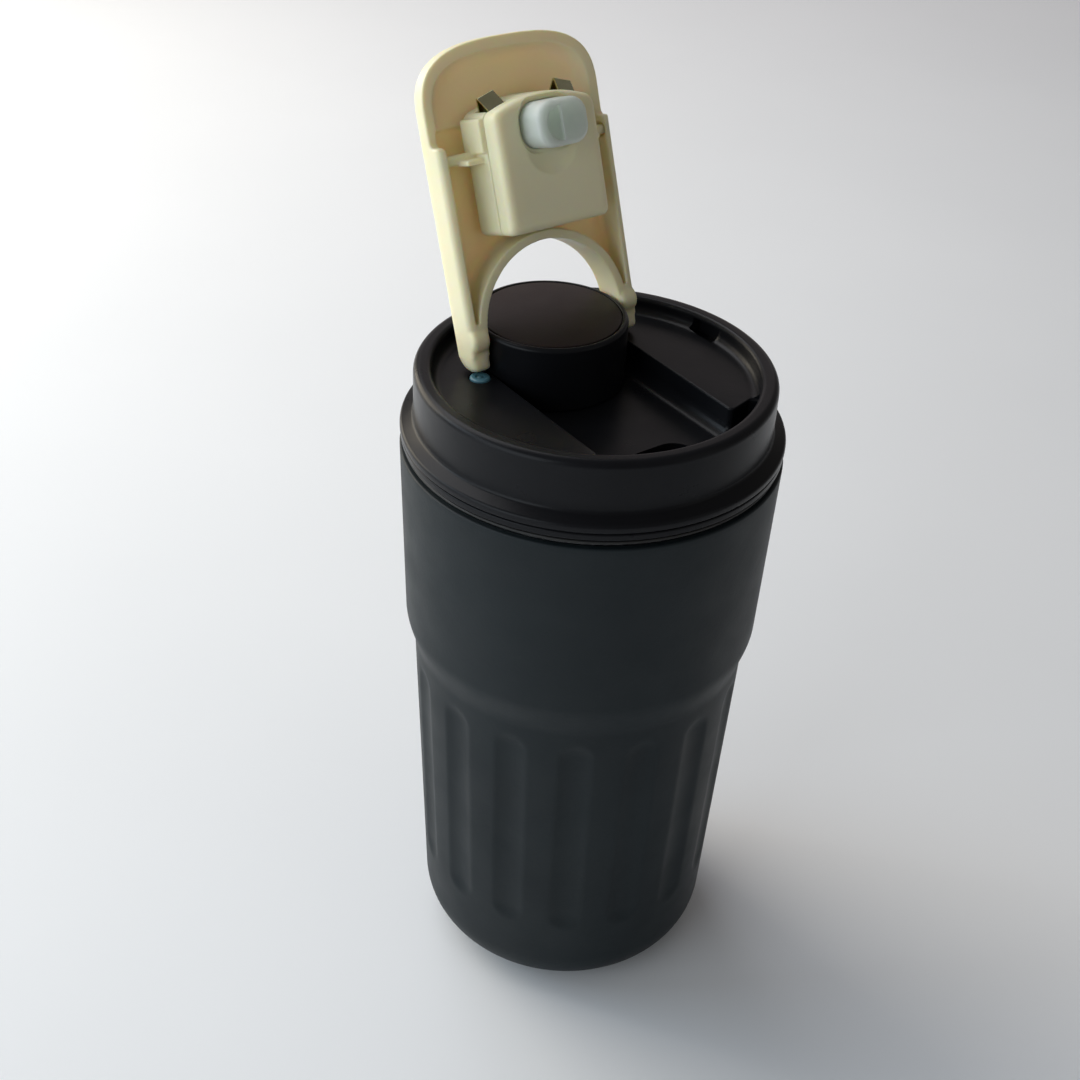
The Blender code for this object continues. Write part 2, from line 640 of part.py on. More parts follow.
def carrier_cover(rocker):
    """The front half of the box, with the seat round the plug and the thumb dimple."""
    shape = box_outline(0.0, BOX_CORNER)
    cover = add("carrier_cover", prism_mesh("carrier_cover", shape, BOX_FRONT, BOX_SPLIT - 0.15),
                CREAM, rocker)
    cover.location = (0.0, EAR_REACH * MM, -EAR_Z * MM)
    soften = cover.modifiers.new("soft_edges", "BEVEL")
    soften.width = 1.0 * MM
    soften.segments = 2
    soften.limit_method = "ANGLE"
    soften.angle_limit = math.radians(50)
    inside = box_outline(BOX_WALL, BOX_CORNER - 1.0)
    combine(cover, prism_mesh("inside", inside, BOX_FRONT + BOX_FRONT_WALL, BOX_SPLIT + 1.0))
    dimple = bmesh.new()
    bmesh.ops.create_uvsphere(dimple, u_segments=24, v_segments=12, radius=14.0 * MM)
    bmesh.ops.translate(dimple, verts=dimple.verts,
                        vec=(0.0, -(PLUG_REACH - 7.6) * MM, (BOX_FRONT - 14.0 + 0.9) * MM))
    combine(cover, mesh_from(dimple, "dimple"))
    combine(cover, prism_mesh("plug_seat", oval(PLUG, PLUG_SEAT, -PLUG_REACH), BOX_FRONT - 1.0,
                              BOX_FRONT + 1.0))
    combine(cover, prism_mesh("plug_hole", oval(PLUG, GAP, -PLUG_REACH), BOX_FRONT - 1.0,
                              BOX_SPLIT + 1.0))
    catch_slots(cover)


def radial(mesh, side):
    """Turns a mesh made along the middle to where a catch lies, about the lid's axis."""
    centre = Vector((0.0, -HINGE[1] * MM, 0.0))
    turn = Matrix.Rotation(math.radians(side * CATCH_ANGLE), 4, "Z")
    mesh.transform(Matrix.Translation(centre) @ turn @ Matrix.Translation(-centre))
    return mesh


def catch_slots(target):
    """The slots through the far wall where the two catch springs come out."""
    half = CATCH_W / 2 + GAP
    near = -HINGE[1] - CATCH_R[0] + GAP
    for side in (-1, 1):
        slot = box_mesh("catch_slot", (-half, near - 10.0, BOX_SPLIT - 0.6),
                        (half, near, CATCH_BACK + 0.6))
        combine(target, radial(slot, side))


def stopper_plug(rocker):
    """The soft plug: a flange held inside the box, an oval stem and a half-moon end."""
    inside = BOX_FRONT + BOX_FRONT_WALL + GAP
    stem = prism_mesh("stopper_plug", oval(PLUG, 0.0, 0.0), PLUG_END, inside + 1.0)
    plug = add("stopper_plug", stem, SILICONE, rocker)
    plug.location = (0.0, (EAR_REACH - PLUG_REACH) * MM, -EAR_Z * MM)
    soften = plug.modifiers.new("soft_edges", "BEVEL")
    soften.width = 1.1 * MM
    soften.segments = 2
    soften.limit_method = "ANGLE"
    soften.angle_limit = math.radians(50)
    flange = box_mesh("flange", (-7.4, -3.4, inside), (7.4, 6.0, inside + 1.4))
    combine(plug, flange, "UNION")
    half_disc = arc(-0.4, 0.0, 3.5, 90, 270, 12)
    combine(plug, prism_mesh("half_moon", half_disc, PLUG_END - 1.0, PLUG_END + 1.1))


def catch_springs(rocker):
    """Two folded strips, held between the box halves, whose tips catch the rim."""
    t = 0.45
    start, reach = (HINGE[1] + r for r in CATCH_R)
    low = BOX_SPLIT - t / 2
    front = [(start, low), (reach - 3.2, low), (reach - 0.3, low + 1.6), (reach, low + 2.0)]
    back = [(reach, low + 2.7), (reach - 0.3, low + 3.2), (reach - 4.0, CATCH_BACK)]
    rear_inner = [(reach - 4.1, CATCH_BACK - t), (reach - 0.3 - t, low + 2.9)]
    front_inner = [(reach - 0.1 - t, low + 2.1), (reach - 3.2 - t, low + t), (start, low + t)]
    outline = front + back + rear_inner + front_inner
    for side, name in ((-1, "catch_spring_left"), (1, "catch_spring_right")):
        mesh = radial(side_mesh(name, outline, CATCH_W / 2), side)
        spring = add(name, mesh, SPRING, rocker)
        spring.location = (0.0, EAR_REACH * MM, -EAR_Z * MM)


outer_shell()
base_pieces()
inner_liner()
getter()
LID = empty("lid_axis")
lid_shell(LID)
lid_plug(LID)
seals(LID)
hinge_tower(LID)
LEVER = empty("lever_hinge", LID, HINGE)
LEVER.rotation_euler.x = math.radians(-OPEN_ANGLE)
lever_cover(LEVER)
hinge_pins(LEVER)
ROCKER = empty("carrier_axis", LEVER, (0.0, -EAR_REACH, EAR_Z))
stopper_carrier(ROCKER)
carrier_cover(ROCKER)
stopper_plug(ROCKER)
catch_springs(ROCKER)
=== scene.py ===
"""The looks of the vacuum flask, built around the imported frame.

Lengths are in mm unless a name says otherwise. The lever and what it carries are built in the
lever's own frame, which lies closed: x across, reach along -Y from the hinge, height along +Z.
"""

import json
import math

import bmesh
import bpy
from mathutils import Matrix, Vector


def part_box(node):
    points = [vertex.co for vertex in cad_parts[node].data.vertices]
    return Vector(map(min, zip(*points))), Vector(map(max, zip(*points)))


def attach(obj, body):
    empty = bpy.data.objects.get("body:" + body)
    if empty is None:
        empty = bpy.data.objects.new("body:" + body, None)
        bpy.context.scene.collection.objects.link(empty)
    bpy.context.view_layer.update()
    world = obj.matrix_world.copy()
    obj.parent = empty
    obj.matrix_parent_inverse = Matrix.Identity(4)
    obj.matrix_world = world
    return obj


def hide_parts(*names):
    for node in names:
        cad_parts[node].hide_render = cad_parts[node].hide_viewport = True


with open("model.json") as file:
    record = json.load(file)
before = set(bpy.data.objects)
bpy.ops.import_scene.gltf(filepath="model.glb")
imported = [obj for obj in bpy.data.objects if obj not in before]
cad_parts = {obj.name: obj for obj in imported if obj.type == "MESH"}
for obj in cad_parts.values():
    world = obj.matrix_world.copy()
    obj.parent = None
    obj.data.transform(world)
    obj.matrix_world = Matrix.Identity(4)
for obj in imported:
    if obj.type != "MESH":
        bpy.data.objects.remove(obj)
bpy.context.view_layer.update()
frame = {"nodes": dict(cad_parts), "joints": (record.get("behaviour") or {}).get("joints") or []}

MM = 0.001
ON_AXIS = 1e-6                 # a distance from the middle that counts as none


def span(node):
    """A CAD node's box as two corners in mm."""
    low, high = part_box(node)
    return low / MM, high / MM


def joint(name):
    return next(j for j in frame["joints"] if j["name"] == name)


# ---- vessel ----
SHELL_HIGH = span("outer_shell")[1]
MOUTH_R = SHELL_HIGH.x
SHELL_TOP = SHELL_HIGH.z
MOUTH_Z = SHELL_TOP + 0.3      # a little above the top of the CAD's shell
MOUTH_EDGE = 0.45
SHOULDER_TOP = (MOUTH_R - 1.1, 95.8)   # radius and height
SHOULDER_FOOT = (MOUTH_R - 3.1, 86.1)
CORNER_R = 12.6
FOOT_R = 35.2
BASE_HOLE_R = 20.4
SHELL_WALL = 1.4
FLUTES = 16
FLUTE_PHASE = math.radians(98.7)
FLUTE_Z = (24.0, 83.6)
FLUTE_WIDTH = 7.6
FLUTE_DEPTH = 0.75
FLUTE_LIP = 0.10               # how softly a flute runs out, as a share of its depth

# ---- lid ----
LID_HIGH = span("lid_shell")[1]
FLANGE_R = LID_HIGH.x
RIM_TOP = LID_HIGH.z
FLANGE_Z = (RIM_TOP - 16.2, RIM_TOP - 12.4)
RIM_R = FLANGE_R - 2.85
CUT_TOP = RIM_TOP - 1.9        # how high the cuts into the deck reach
RIM_BORE = 34.3
DECK_Z = RIM_TOP - 3.75
FLOOR_Z = RIM_TOP - 10.1
CEILING_Z = RIM_TOP - 12.2
CHANNEL_HALF = 16.8
CHANNEL_FRONT_R = 34.2
DECK_FRONT = (-23.9, -22.5)    # y of the deck's front edge, by the channel and by the rim
HOLE_Y = -25.4
HOLE = (7.6, 6.15, 4.7)        # oval: half its width, half its depth, corner radius
VENT_LOW, VENT_HIGH = span("vent_valve")
VENT = (VENT_LOW + VENT_HIGH) / 2
VENT_R = (VENT_HIGH.x - VENT_LOW.x) / 2

# ---- hinge tower ----
TOWER_LOW, TOWER_HIGH = span("hinge_tower")
TOWER_R = (TOWER_HIGH.x - TOWER_LOW.x) / 2
TOWER_Y = (TOWER_HIGH.y + TOWER_LOW.y) / 2
CAP_HIGH = span("tower_cap")[1]
TOWER_TOP = CAP_HIGH.z
CAP_R = CAP_HIGH.x
PIN_BORE = 1.3

# ---- lever ----
HINGE = Vector(joint("lever_hinge")["pos_m"]) / MM
OPEN_ANGLE = math.radians(joint("lever_hinge")["range_deg"][1])
LEVER_FRAME = Matrix.Translation(HINGE * MM) @ Matrix.Rotation(-OPEN_ANGLE, 4, "X")
LEVER_HALF = 21.6
TAIL_END = -8.0                # reach at which the lever's blank starts
LEVER_REACH = 59.9
TIP_START = 46.0
TIP_POWER = 2.9                # squareness of the tip's outline: 2 is an ellipse
LEVER_TOP = 5.57
RAIL_BOTTOM = -2.4
RAIL_HALF = 19.5               # inner face of the side rails
TIP_BOTTOM = 0.6
TIP_WALL = 2.3
PLATE = 2.0
STEP_REACH = 40.5              # where the rails step up to the tip
ARCH_REACH = 1.0
ARCH_R = 17.1
RIB_WALL = 2.0
GROOVE_REACH = 4.4             # where the groove between rail and rib ends
TAIL_R = 5.8
KNUCKLE_R = 2.8
KNUCKLE_AT = (-1.1, -0.6)      # y and height of the knuckles' middle
EAR_REACH = 37.5
EAR_HEIGHT = -0.5
EAR_AT = (-EAR_REACH, EAR_HEIGHT)
EAR_R = 1.1

# ---- stopper carrier ----
BOX_HALF = 12.4
BOX_NEAR = 21.2
BOX_FAR_R = 31.4
BOX_CORNER = 2.4
BOX_FRONT = -10.7
BOX_SPLIT = -6.0
SPLIT_GAP = 0.1                # how far each half stays off the split line
BOX_BACK = 2.2
BOX_WALL = 1.3
PLUG_REACH = 41.8
PLUG = (6.0, 4.6, 3.5)         # oval, as the drinking hole
PLUG_END = -16.4
CATCH_R = (26.5, 34.0)         # distance from the lid's axis with the lever shut
CATCH_BACK = -1.7              # height of a catch's rear leaf
CATCH_ANGLE = 16.2             # degrees to each side of the middle
CATCH_W = 4.1

# ---- view ----
CAMERA_AT = (-180.4, -225.6, 312.5)
LOOK_AT = (-4.8, 10.2, 107.2)
CAMERA_ROLL = 2.88             # degrees
LENS = 52.34


# ---------------------------------------------------------------- shape helpers

def arc(centre_a, centre_b, radius, start, stop, count):
    """Points of an arc in a plane, angles in degrees from the first axis."""
    points = []
    for i in range(count + 1):
        angle = math.radians(start + (stop - start) * i / count)
        points.append((centre_a + radius * math.cos(angle), centre_b + radius * math.sin(angle)))
    return points


def oval(shape, grow, centre_y):
    """A rounded rectangle of (half width, half depth, corner radius), grown all round."""
    count = 12
    half_x, half_y, corner = shape
    x, y = half_x - corner, half_y - corner
    points = []
    for turn, (cx, cy) in enumerate(((x, y), (-x, y), (-x, -y), (x, -y))):
        points += arc(cx, centre_y + cy, corner + grow, 90 * turn, 90 * turn + 90, count)
    return points


def across(side, near, far):
    """The span along X between two distances from the middle, on one side."""
    return sorted((side * near, side * far))


def with_mirror(points):
    """Points of the right half, then their mirror images back to the start."""
    return points + [(-x, y) for x, y in reversed(points) if x > ON_AXIS]


def finish_mesh(bm, name, sharp=30.0):
    """A smooth-shaded mesh whose edges stay crisp above an angle in degrees."""
    mesh = bpy.data.meshes.new(name)
    bmesh.ops.recalc_face_normals(bm, faces=bm.faces)
    bm.to_mesh(mesh)
    bm.free()
    mesh.shade_smooth()
    mesh.set_sharp_from_angle(angle=math.radians(sharp))
    return mesh


def put(name, mesh):
    """A new object in the scene."""
    made = bpy.data.objects.new(name, mesh)
    bpy.context.scene.collection.objects.link(made)
    return made


def lathe(name, profile, steps, place=(0.0, 0.0), sharp=30.0):
    """A closed profile of (radius, height) turned about an upright axis.

    A profile that starts and ends on the axis is joined there; any other makes a ring."""
    bm = bmesh.new()
    on_axis = profile[0][0] < ON_AXIS
    rings = []
    for r, z in profile:
        if r < ON_AXIS:
            rings.append([bm.verts.new((place[0] * MM, place[1] * MM, z * MM))] * steps)
            continue
        ring = []
        for k in range(steps):
            a = 2 * math.pi * k / steps
            ring.append(bm.verts.new(((place[0] + r * math.cos(a)) * MM,
                                      (place[1] + r * math.sin(a)) * MM, z * MM)))
        rings.append(ring)
    pairs = list(zip(rings, rings[1:]))
    if not on_axis:
        pairs.append((rings[-1], rings[0]))
    for a, b in pairs:
        for k in range(steps):
            corners = [a[k], a[(k + 1) % steps], b[(k + 1) % steps], b[k]]
            unique = list(dict.fromkeys(corners))
            if len(unique) > 2:
                bm.faces.new(unique)
    return put(name, finish_mesh(bm, name, sharp))


def stack(name, rings):
    """A solid through a stack of rings of (x, y, z) in mm, all with the same point count."""
    bm = bmesh.new()
    made = [[bm.verts.new(Vector(p) * MM) for p in ring] for ring in rings]
    count = len(made[0])
    for a, b in zip(made, made[1:]):
        for k in range(count):
            bm.faces.new((a[k], a[(k + 1) % count], b[(k + 1) % count], b[k]))
    bm.faces.new(list(reversed(made[0])))
    bm.faces.new(made[-1])
    return put(name, finish_mesh(bm, name))


def prism(name, outline, low, high):
    """A solid with one outline of (x, y) between two heights."""
    return stack(name, [[(x, y, z) for x, y in outline] for z in (low, high)])


def side_prism(name, profile, half_width):
    """A side view of (reach, height), as wide as asked along X."""
    rings = [[(x, -s, n) for s, n in profile] for x in (-half_width, half_width)]
    return stack(name, rings)


def rod(name, radius, low, high, place=(0.0, 0.0), steps=48, along="Z", edge=0.0):
    """A cylinder with its two rims rounded by edge.

    Its place is (x, y) when it stands along Z, and (y, z) when it lies along X."""
    profile = [(0.0, high)]
    if edge:
        profile += arc(radius - edge, high - edge, edge, 90, 0, 4)
        profile += arc(radius - edge, low + edge, edge, 0, -90, 4)
    else:
        profile += [(radius, high), (radius, low)]
    made = lathe(name, profile + [(0.0, low)], steps)
    if along == "X":
        turn = Matrix.Rotation(math.radians(90), 4, "Y")
        made.data.transform(Matrix.Translation((0.0, place[0] * MM, place[1] * MM)) @ turn)
    else:
        made.data.transform(Matrix.Translation((place[0] * MM, place[1] * MM, 0.0)))
    return made


def block(name, low, high, edge=0.0):
    """A box between two corners, with all its edges rounded by edge."""
    bm = bmesh.new()
    bmesh.ops.create_cube(bm, size=1.0)
    size = [(b - a) * MM for a, b in zip(low, high)]
    bmesh.ops.scale(bm, verts=bm.verts, vec=size)
    bmesh.ops.translate(bm, verts=bm.verts, vec=[(a + b) / 2 * MM for a, b in zip(low, high)])
    if edge:
        bmesh.ops.bevel(bm, geom=bm.edges[:], offset=edge * MM, segments=4, profile=0.5,
                        affect="EDGES")
    return put(name, finish_mesh(bm, name))


def bake(item):
    """Applies an object's modifiers to its mesh."""
    graph = bpy.context.evaluated_depsgraph_get()
    mesh = bpy.data.meshes.new_from_object(item.evaluated_get(graph))
    old = item.data
    item.modifiers.clear()
    item.data = mesh
    bpy.data.meshes.remove(old)


def combine(target, tool, operation="DIFFERENCE"):
    """Applies a Boolean to the target and deletes the tool."""
    step = target.modifiers.new("combine", "BOOLEAN")
    step.operation = operation
    step.solver = "EXACT"
    step.object = tool
    bake(target)
    bpy.data.objects.remove(tool, do_unlink=True)


def moulded(item, voxel, rounds):
    """Remeshes a solid finely and relaxes it, which rounds all its edges like a moulding."""
    step = item.modifiers.new("skin", "REMESH")
    step.mode = "VOXEL"
    step.voxel_size = voxel * MM
    step.adaptivity = 0.0
    relax = item.modifiers.new("relax", "SMOOTH")
    relax.factor = 0.5
    relax.iterations = rounds
    bake(item)
    item.data.shade_smooth()


def soften(item, width):
    """Rounds the edges sharper than 50 degrees by a width."""
    step = item.modifiers.new("soften", "BEVEL")
    step.width = width * MM
    step.segments = 2
    step.limit_method = "ANGLE"
    step.angle_limit = math.radians(50)
    bake(item)


def crisp(item, sharp):
    """Smooth shading that keeps large flat faces flat and edges above an angle sharp."""
    item.data.shade_smooth()
    item.data.set_sharp_from_angle(angle=math.radians(sharp))
    step = item.modifiers.new("normals", "WEIGHTED_NORMAL")
    step.keep_sharp = True
    step.weight = 60


def settle(item, body, finish, node):
    """Hands a finished piece, which stands for one CAD node, to the frame."""
    item.data.materials.clear()
    item.data.materials.append(finish)
    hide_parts(node)
    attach(item, body)


def in_lever(item):
    """Moves a piece built in the lever's own frame to where the lever stands open."""
    item.data.transform(LEVER_FRAME)


# ---------------------------------------------------------------- materials

NOISE_RANGE = (0.3, 0.7)


def look(name, color, roughness, metallic=0.0):
    """A new material, its node tree and its shader."""
    made = bpy.data.materials.new(name)
    made.use_nodes = True
    shader = made.node_tree.nodes["Principled BSDF"]
    shader.inputs["Base Color"].default_value = (*color, 1.0)
    shader.inputs["Roughness"].default_value = roughness
    shader.inputs["Metallic"].default_value = metallic
    return made, made.node_tree, shader


def noise(tree, scale, detail=3.0, stretch=(1.0, 1.0, 1.0)):
    """A noise texture in object space; scale counts features in a metre."""
    where = tree.nodes.new("ShaderNodeTexCoord")
    sized = tree.nodes.new("ShaderNodeMapping")
    sized.inputs["Scale"].default_value = stretch
    tree.links.new(where.outputs["Object"], sized.inputs["Vector"])
    made = tree.nodes.new("ShaderNodeTexNoise")
    made.inputs["Scale"].default_value = scale
    made.inputs["Detail"].default_value = detail
    tree.links.new(sized.outputs["Vector"], made.inputs["Vector"])
    return made.outputs["Fac"]


def spread(tree, source, low=0.0, high=1.0):
    """Maps a noise value, which mostly stays within NOISE_RANGE, to a range."""
    made = tree.nodes.new("ShaderNodeMapRange")
    made.inputs["From Min"].default_value = NOISE_RANGE[0]
    made.inputs["From Max"].default_value = NOISE_RANGE[1]
    made.inputs["To Min"].default_value = low
    made.inputs["To Max"].default_value = high
    tree.links.new(source, made.inputs["Value"])
    return made.outputs["Result"]


def colour(tree, shader, source, first, second):
    """Lets the base colour wander between two colours with a noise."""
    made = tree.nodes.new("ShaderNodeMix")
    made.data_type = "RGBA"
    made.inputs["A"].default_value = (*first, 1.0)
    made.inputs["B"].default_value = (*second, 1.0)
    tree.links.new(spread(tree, source), made.inputs["Factor"])
    tree.links.new(made.outputs["Result"], shader.inputs["Base Color"])


def gloss(tree, shader, source, low, high):
    """Lets the roughness wander between two values with a noise."""
    tree.links.new(spread(tree, source, low, high), shader.inputs["Roughness"])


def bump(tree, shader, heights, distance, strength):
    """Sums height sources into one bump, with its distance in metres."""
    total = heights[0]
    for other in heights[1:]:
        add = tree.nodes.new("ShaderNodeMath")
        add.operation = "ADD"
        tree.links.new(total, add.inputs[0])
        tree.links.new(other, add.inputs[1])
        total = add.outputs[0]
    made = tree.nodes.new("ShaderNodeBump")
    made.inputs["Strength"].default_value = strength
    made.inputs["Distance"].default_value = distance
    tree.links.new(total, made.inputs["Height"])
    tree.links.new(made.outputs["Normal"], shader.inputs["Normal"])


def powder_coat():
    """Charcoal powder coat: a fine dry grain, faint mottling and slightly uneven gloss."""
    made, tree, shader = look("powder_coat", (0.0056, 0.0108, 0.0134), 0.52)
    shader.inputs["Specular IOR Level"].default_value = 0.26
    colour(tree, shader, noise(tree, 35.0, 4.0), (0.0045, 0.0090, 0.0115),
           (0.0068, 0.0125, 0.0152))
    gloss(tree, shader, noise(tree, 90.0, 5.0), 0.47, 0.56)
    grain = spread(tree, noise(tree, 2600.0, 2.0))
    coarse = spread(tree, noise(tree, 900.0, 2.0), 0.0, 0.8)
    bump(tree, shader, [grain, coarse], 0.00002, 0.5)
    return made


def black_plastic(name, roughness, grain_scale, dark, light):
    """Black moulded plastic with a satin sheen and a very fine spark-eroded grain."""
    made, tree, shader = look(name, dark, roughness)
    shader.inputs["Specular IOR Level"].default_value = 0.15
    colour(tree, shader, noise(tree, 60.0, 4.0), dark, light)
    gloss(tree, shader, noise(tree, 140.0, 6.0), roughness - 0.03, roughness + 0.03)
    grain = spread(tree, noise(tree, grain_scale, 2.0))
    swirl = spread(tree, noise(tree, 400.0, 3.0), 0.0, 0.5)
    bump(tree, shader, [grain, swirl], 0.00001, 0.5)
    return made


def cream_plastic():
    """Ivory moulded plastic, slightly translucent, so that its hollows glow warm."""
    made, tree, shader = look("cream_plastic", (0.865, 0.80, 0.54), 0.36)
    shader.subsurface_method = "RANDOM_WALK"
    shader.inputs["Subsurface Weight"].default_value = 0.45
    shader.inputs["Subsurface Radius"].default_value = (1.0, 0.62, 0.14)
    shader.inputs["Subsurface Scale"].default_value = 0.0032
    shader.inputs["Specular IOR Level"].default_value = 0.45
    colour(tree, shader, noise(tree, 50.0, 3.0), (0.855, 0.79, 0.525), (0.875, 0.81, 0.555))
    gloss(tree, shader, noise(tree, 220.0, 4.0), 0.34, 0.44)
    bump(tree, shader, [spread(tree, noise(tree, 1500.0, 2.0))], 0.000008, 0.4)
    return made


def clear_silicone():
    """Milky translucent silicone."""
    made, tree, shader = look("clear_silicone", (0.71, 0.77, 0.70), 0.36)
    shader.subsurface_method = "RANDOM_WALK"
    shader.inputs["Subsurface Weight"].default_value = 1.0
    shader.inputs["Subsurface Radius"].default_value = (0.95, 1.0, 0.92)
    shader.inputs["Subsurface Scale"].default_value = 0.006
    shader.inputs["Transmission Weight"].default_value = 0.25
    shader.inputs["IOR"].default_value = 1.41
    colour(tree, shader, noise(tree, 300.0, 3.0), (0.68, 0.75, 0.68), (0.74, 0.80, 0.73))
    gloss(tree, shader, noise(tree, 500.0, 3.0), 0.30, 0.42)
    bump(tree, shader, [spread(tree, noise(tree, 1200.0, 2.0))], 0.00001, 0.3)
    return made


def blue_silicone():
    """The vent valve's silicone, which looks blue-grey over the black deck."""
    made, tree, shader = look("vent_silicone", (0.10, 0.16, 0.19), 0.42)
    shader.inputs["Subsurface Weight"].default_value = 0.3
    shader.inputs["Subsurface Radius"].default_value = (0.4, 0.8, 1.0)
    shader.inputs["Subsurface Scale"].default_value = 0.001
    colour(tree, shader, noise(tree, 1500.0, 4.0), (0.065, 0.18, 0.235), (0.11, 0.25, 0.31))
    gloss(tree, shader, noise(tree, 900.0, 3.0), 0.36, 0.5)
    bump(tree, shader, [spread(tree, noise(tree, 1800.0, 2.0))], 0.00002, 0.5)
    return made


def black_silicone():
    """Dull black rubber."""
    made, tree, shader = look("black_silicone", (0.012, 0.012, 0.012), 0.6)
    colour(tree, shader, noise(tree, 200.0), (0.009, 0.009, 0.009), (0.016, 0.016, 0.016))
    gloss(tree, shader, noise(tree, 300.0), 0.52, 0.68)
    bump(tree, shader, [spread(tree, noise(tree, 1500.0))], 0.00001, 0.4)
    return made


def brushed_steel(name, color, roughness, stretch):
    """Steel with fine scratches at right angles to the axis that stretch makes large."""
    made, tree, shader = look(name, color, roughness, 1.0)
    lines = noise(tree, 1200.0, 3.0, stretch)
    darker = tuple(c * 0.88 for c in color)
    colour(tree, shader, lines, darker, color)
    gloss(tree, shader, lines, roughness - 0.06, roughness + 0.1)
    bump(tree, shader, [spread(tree, lines)], 0.000006, 0.4)
    return made


def spring_steel():
    """Bright rolled strip, almost a mirror."""
    made, tree, shader = look("spring_steel", (0.58, 0.57, 0.36), 0.1, 1.0)
    colour(tree, shader, noise(tree, 400.0, 4.0), (0.53, 0.53, 0.32), (0.63, 0.61, 0.40))
    gloss(tree, shader, noise(tree, 900.0, 3.0), 0.07, 0.16)
    bump(tree, shader, [spread(tree, noise(tree, 700.0, 2.0))], 0.00001, 0.25)
    return made


COAT = powder_coat()
BLACK = black_plastic("black_plastic", 0.3, 2600.0, (0.0060, 0.0064, 0.0078),
                      (0.0080, 0.0084, 0.0102))
# Matte black, tinted warm brown. The tint is a painted reflection of the warm light that falls on
# the cap's top from above and behind.
CAP_BLACK_PAINTED_WARM = black_plastic("black_cap_painted_warm_reflection", 0.44, 1800.0, (0.0150, 0.0098, 0.0092),
                          (0.0180, 0.0120, 0.0114))
CREAM = cream_plastic()
CLEAR = clear_silicone()
VENT_LOOK = blue_silicone()
BLACK_RUBBER = black_silicone()
STEEL = brushed_steel("bare_steel", (0.62, 0.62, 0.63), 0.28, (1.0, 1.0, 30.0))
GETTER = brushed_steel("getter_metal", (0.45, 0.40, 0.36), 0.42, (1.0, 1.0, 1.0))
SPRING = spring_steel()


# ---------------------------------------------------------------- vessel

def shell_radius(z):
    """Outer radius of the bare shell at a height above the base's rounding."""
    (top_r, top_z), (foot_r, foot_z) = SHOULDER_TOP, SHOULDER_FOOT
    if z >= top_z:
        return top_r + (MOUTH_R - top_r) * (z - top_z) / (SHELL_TOP - top_z)
    if z >= foot_z:
        t = (top_z - z) / (top_z - foot_z)
        return top_r + (foot_r - top_r) * t * t * (3 - 2 * t)
    return foot_r - (foot_r - FOOT_R) * (foot_z - z) / (foot_z - CORNER_R)


def flute_depth(angle, z, radius):
    """How far the wall is pressed in: upright dishes with round ends and a soft lip."""
    half = FLUTE_WIDTH / 2
    pitch = 2 * math.pi / FLUTES
    aside = ((angle - FLUTE_PHASE + pitch / 2) % pitch - pitch / 2) * radius
    low, high = FLUTE_Z[0] + half, FLUTE_Z[1] - half
    beyond = max(low - z, z - high, 0.0)
    share = 1 - (aside ** 2 + beyond ** 2) / half ** 2
    return FLUTE_DEPTH * (share + math.sqrt(share * share + FLUTE_LIP * FLUTE_LIP)) / 2


def body_shell():
    """The coated outside, from the mouth down to the hole in the base, and its inner wall."""
    steps = FLUTES * 24
    wall_rows, shoulder_rows, flute_rows = 14, 16, 90
    wall_top, wall_length, gap = SHELL_TOP - 1.5, 40.0, 0.4
    heights = [wall_top - wall_length * i / wall_rows for i in range(wall_rows + 1)]
    heights += [SHOULDER_TOP[1] - (SHOULDER_TOP[1] - SHOULDER_FOOT[1]) * i / shoulder_rows
                for i in range(shoulder_rows + 1)]
    heights += [SHOULDER_FOOT[1] - gap - (SHOULDER_FOOT[1] - CORNER_R - gap) * i / flute_rows
                for i in range(flute_rows + 1)]
    rows = [(MOUTH_R - SHELL_WALL, MOUTH_Z, 0.0)]
    rows += [(r, z, 0.0) for r, z in arc(MOUTH_R - MOUTH_EDGE, MOUTH_Z - MOUTH_EDGE, MOUTH_EDGE,
                                         90, 0, 5)]
    rows += [(shell_radius(z), z, 1.0) for z in heights]
    rows += [(r, z, 1.0) for r, z in arc(FOOT_R - CORNER_R, CORNER_R, CORNER_R, 0, -90, 18)[1:]]
    rows += [(BASE_HOLE_R, 0.0, 0.0), (BASE_HOLE_R, SHELL_WALL, 0.0)]
    rows += [(r, z, 0.0) for r, z in arc(FOOT_R - CORNER_R, CORNER_R, CORNER_R - SHELL_WALL,
                                         -90, 0, 8)]
    rows += [(SHOULDER_FOOT[0] - SHELL_WALL, SHOULDER_FOOT[1], 0.0),
             (SHOULDER_TOP[0] - SHELL_WALL, SHOULDER_TOP[1], 0.0)]
    bm = bmesh.new()
    rings = []
    for r, z, fluted in rows:
        ring = []
        for k in range(steps):
            angle = 2 * math.pi * k / steps
            wall = r - (flute_depth(angle, z, r) if fluted else 0.0)
            ring.append(bm.verts.new((wall * math.cos(angle) * MM, wall * math.sin(angle) * MM,
                                      z * MM)))
        rings.append(ring)
    for a, b in zip(rings, rings[1:] + rings[:1]):
        for k in range(steps):
            bm.faces.new((a[k], a[(k + 1) % steps], b[(k + 1) % steps], b[k]))
    shell = put("coated_shell", finish_mesh(bm, "coated_shell", 40.0))
    settle(shell, "flask", COAT, "outer_shell")


# ---------------------------------------------------------------- lid

def channel_ring(offset, z):
    """The channel's outline, grown by offset except where its wall runs up into the rim."""
    radius = CHANNEL_FRONT_R + min(offset, 0.0)
    half = CHANNEL_HALF + offset
    turn_r, run_in, run_down = 1.2, 1.5, 1.26
    start = math.degrees(math.asin((DECK_FRONT[1] + offset - run_down) / radius))
    front = arc(0.0, 0.0, radius, start, -90, 24)
    turn = arc(half + turn_r, DECK_FRONT[0] + offset + turn_r, turn_r, 180, 255, 5)
    rim_end = (front[0][0] - run_in, DECK_FRONT[1] + offset)
    return [(x, y, z) for x, y in with_mirror([(half, TOWER_Y)] + turn + [rim_end] + front)]


